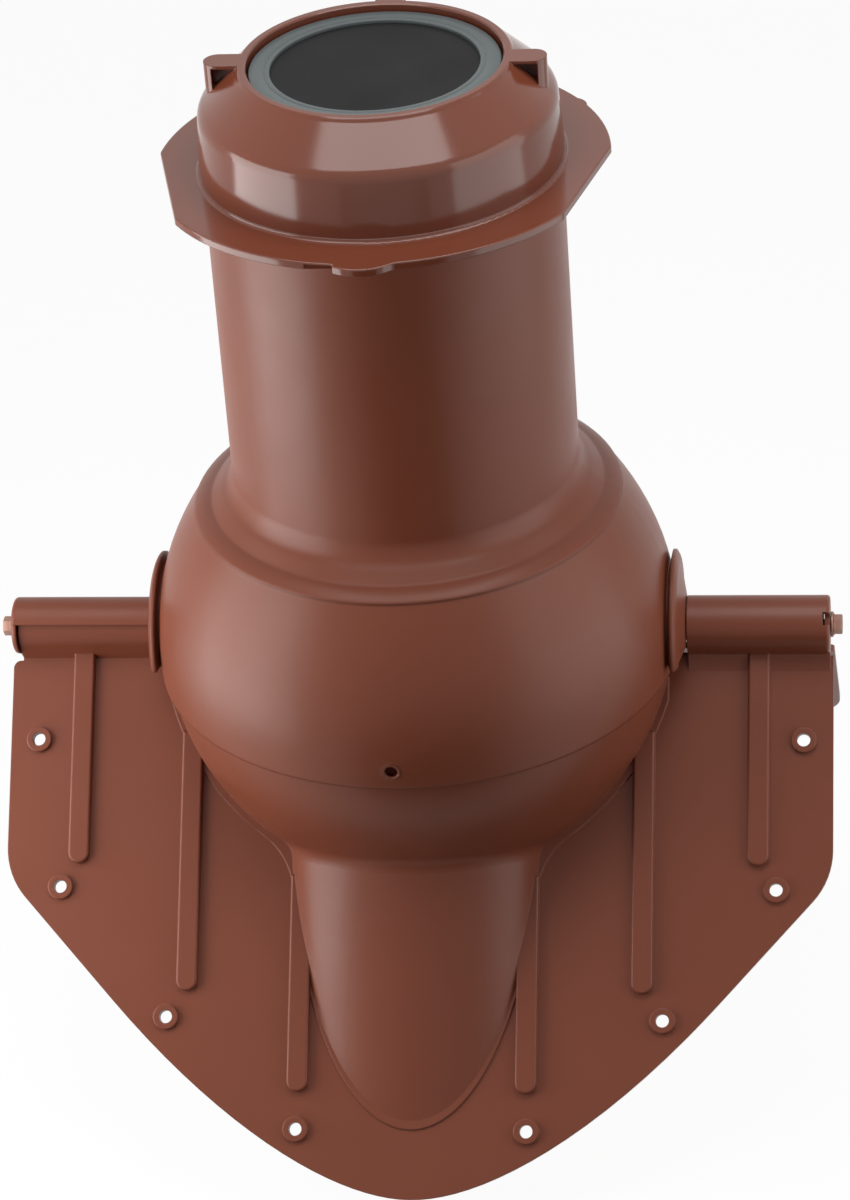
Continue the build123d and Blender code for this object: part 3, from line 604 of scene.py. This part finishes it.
@dataclass
class Studio:
    """Camera, lamps, floor and world.

    The wings' tips sink by tip_drop at their hinges' lower limits, and the floor leaves room for that. The
    camera's angles and distance come from the fit to the photograph.
    """

    azimuth: float = 8.143
    elevation: float = 31.539
    roll: float = -4.434
    distance: float = 2.129159
    aside: float = 0.0029
    above: float = 0.011764
    lens: float = 135.659
    sensor_height: float = 36.0
    clip_end: float = 50.0
    floor_size: float = 40.0
    floor_tone: float = 0.92
    dim_tone: float = 0.45
    floor_gap: float = 0.6 * MM
    tip_drop: float = 17.2 * MM
    floor_white: float = 0.95
    card_near: float = 0.26
    card_far: float = 1.25
    card_near_half: float = 0.15
    card_far_half: float = 0.62
    card_tone: float = 0.015
    fill: float = 0.05
    boxes: tuple[SoftBox, ...] = (
        SoftBox("left_box", -68, 0.1, 0.56, 0.48, 0.6, 5.2, (0, 0, 0.1)),
        SoftBox("right_box", 75, 0.25, 0.72, 0.7, 0.9, 1.8, (0, 0, 0.25)),
        SoftBox("top_box", 8, 0.95, 0.12, 0.8, 0.55, 4.7, (0, 0, 0)),
    )

    def axes(self) -> tuple[Vector, Vector, Vector]:
        """Works out the camera's right, up and back directions.

        Returns:
            The three directions.
        """
        azimuth, elevation, roll = radians(self.azimuth), radians(self.elevation), radians(self.roll)
        back = Vector((sin(azimuth) * cos(elevation), -cos(azimuth) * cos(elevation), sin(elevation)))
        level = Vector((cos(azimuth), sin(azimuth), 0))
        upright = back.cross(level)
        right = level * cos(roll) + upright * sin(roll)
        up = upright * cos(roll) - level * sin(roll)
        return right, up, back

    def camera(self) -> None:
        """Sets the camera at the photograph's viewing angle."""
        right, up, back = self.axes()
        data = bpy.data.cameras.new("camera")
        data.sensor_fit = "VERTICAL"
        data.sensor_height = self.sensor_height
        data.lens = self.lens
        data.clip_end = self.clip_end
        camera = bpy.data.objects.new("camera", data)
        place = back * self.distance + right * self.aside + up * self.above
        camera.matrix_world = Matrix((
            (right.x, up.x, back.x, place.x), (right.y, up.y, back.y, place.y),
            (right.z, up.z, back.z, place.z), (0, 0, 0, 1)))
        bpy.context.scene.collection.objects.link(camera)
        bpy.context.scene.camera = camera

    @staticmethod
    def seen_directly(tree: bpy.types.NodeTree) -> bpy.types.NodeSocket:
        """Tells what the camera, gloss or glass sees from what only lights.

        Args:
            tree: The nodes of a material or world.

        Returns:
            A socket that is 1 for what is seen.
        """
        path = tree.nodes.new("ShaderNodeLightPath")
        first = tree.nodes.new("ShaderNodeMath")
        second = tree.nodes.new("ShaderNodeMath")
        first.operation = second.operation = "MAXIMUM"
        tree.links.new(path.outputs["Is Camera Ray"], first.inputs[0])
        tree.links.new(path.outputs["Is Glossy Ray"], first.inputs[1])
        tree.links.new(first.outputs["Value"], second.inputs[0])
        tree.links.new(path.outputs["Is Transmission Ray"], second.inputs[1])
        return second.outputs["Value"]

    def floor(self) -> None:
        """Lays the pale floor just below where the wings' tips sink to at their hinges' lower limits."""
        low, _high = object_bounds()
        level = low[2] - self.tip_drop - self.floor_gap
        bpy.ops.mesh.primitive_plane_add(size=self.floor_size, location=(0, 0, level))
        floor = bpy.context.active_object
        floor.name = "floor"
        Dressing.dress(floor, self.floor_material())
        floor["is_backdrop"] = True
        self.card(level + self.floor_gap / 2)

    def floor_material(self) -> bpy.types.Material:
        """Mixes a floor that is nearly white where it is seen and dim where it only lights.

        Returns:
            The floor's material.
        """
        material = bpy.data.materials.new("pale_floor")
        material.use_nodes = True
        tree = material.node_tree
        tree.nodes.clear()
        output = tree.nodes.new("ShaderNodeOutputMaterial")
        matt = tree.nodes.new("ShaderNodeBsdfDiffuse")
        white = tree.nodes.new("ShaderNodeEmission")
        half = tree.nodes.new("ShaderNodeMixShader")
        dim = tree.nodes.new("ShaderNodeBsdfDiffuse")
        both = tree.nodes.new("ShaderNodeMixShader")
        matt.inputs["Color"].default_value = grey(self.floor_tone)
        dim.inputs["Color"].default_value = grey(self.dim_tone)
        white.inputs["Color"].default_value = grey(1.0)
        half.inputs["Fac"].default_value = self.floor_white
        tree.links.new(matt.outputs["BSDF"], half.inputs[1])
        tree.links.new(white.outputs["Emission"], half.inputs[2])
        tree.links.new(self.seen_directly(tree), both.inputs["Fac"])
        tree.links.new(dim.outputs["BSDF"], both.inputs[1])
        tree.links.new(half.outputs["Shader"], both.inputs[2])
        tree.links.new(both.outputs["Shader"], output.inputs["Surface"])
        return material

    def card(self, level: float) -> None:
        """Lays the dark card that keeps the front of the object free of reflections.

        Args:
            level: The height that it lies at.
        """
        middle, angle = (self.card_near + self.card_far) / 2, radians(self.azimuth)
        bpy.ops.object.select_all(action="DESELECT")
        bpy.ops.mesh.primitive_plane_add(size=1)
        card = bpy.context.active_object
        card.name = "dark_card"
        card.scale = (2 * self.card_near_half, self.card_far - self.card_near, 1)
        bpy.ops.object.transform_apply(location=False, rotation=False, scale=True)
        bpy.ops.object.mode_set(mode="EDIT")
        bpy.ops.mesh.select_mode(type="EDGE")
        bpy.ops.mesh.select_all(action="DESELECT")
        mesh = bmesh.from_edit_mesh(card.data)
        for edge in mesh.edges:
            edge.select_set(all(corner.co.y < 0 for corner in edge.verts))
        bmesh.update_edit_mesh(card.data)
        bpy.ops.transform.resize(value=(self.card_far_half / self.card_near_half, 1, 1))
        bpy.ops.object.mode_set(mode="OBJECT")
        card.location = (middle * sin(angle), -middle * cos(angle), level)
        card.rotation_euler = (0, 0, angle)
        material = bpy.data.materials.new("dark_card")
        material.use_nodes = True
        shader = material.node_tree.nodes["Principled BSDF"]
        shader.inputs["Base Color"].default_value = grey(self.card_tone)
        shader.inputs["Specular IOR Level"].default_value = 0.0
        Dressing.dress(card, material)
        card.visible_camera = False
        card.visible_shadow = False
        card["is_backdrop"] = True

    def world(self) -> None:
        """Makes the surroundings pale, and white where the camera, gloss or glass sees them."""
        world = bpy.data.worlds.new("studio")
        world.use_nodes = True
        tree = world.node_tree
        tree.nodes.clear()
        output = tree.nodes.new("ShaderNodeOutputWorld")
        seen = tree.nodes.new("ShaderNodeBackground")
        lit = tree.nodes.new("ShaderNodeBackground")
        mix = tree.nodes.new("ShaderNodeMixShader")
        seen.inputs["Color"].default_value = lit.inputs["Color"].default_value = grey(1.0)
        lit.inputs["Strength"].default_value = self.fill
        tree.links.new(self.seen_directly(tree), mix.inputs["Fac"])
        tree.links.new(lit.outputs["Background"], mix.inputs[1])
        tree.links.new(seen.outputs["Background"], mix.inputs[2])
        tree.links.new(mix.outputs["Shader"], output.inputs["Surface"])
        bpy.context.scene.world = world

    def build(self) -> None:
        """Sets up the whole studio."""
        bpy.context.scene.view_settings.view_transform = "Standard"
        self.camera()
        self.floor()
        for box in self.boxes:
            box.hang()
        self.world()


def main() -> None:
    """Builds the looks in order."""
    logging.basicConfig(level=logging.INFO, format="%(name)s: %(message)s")
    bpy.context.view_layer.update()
    Studio().build()
    Dressing().apply()
    HingeFastener().build()
    Seal().build()


if __name__ == "__main__":
    main()
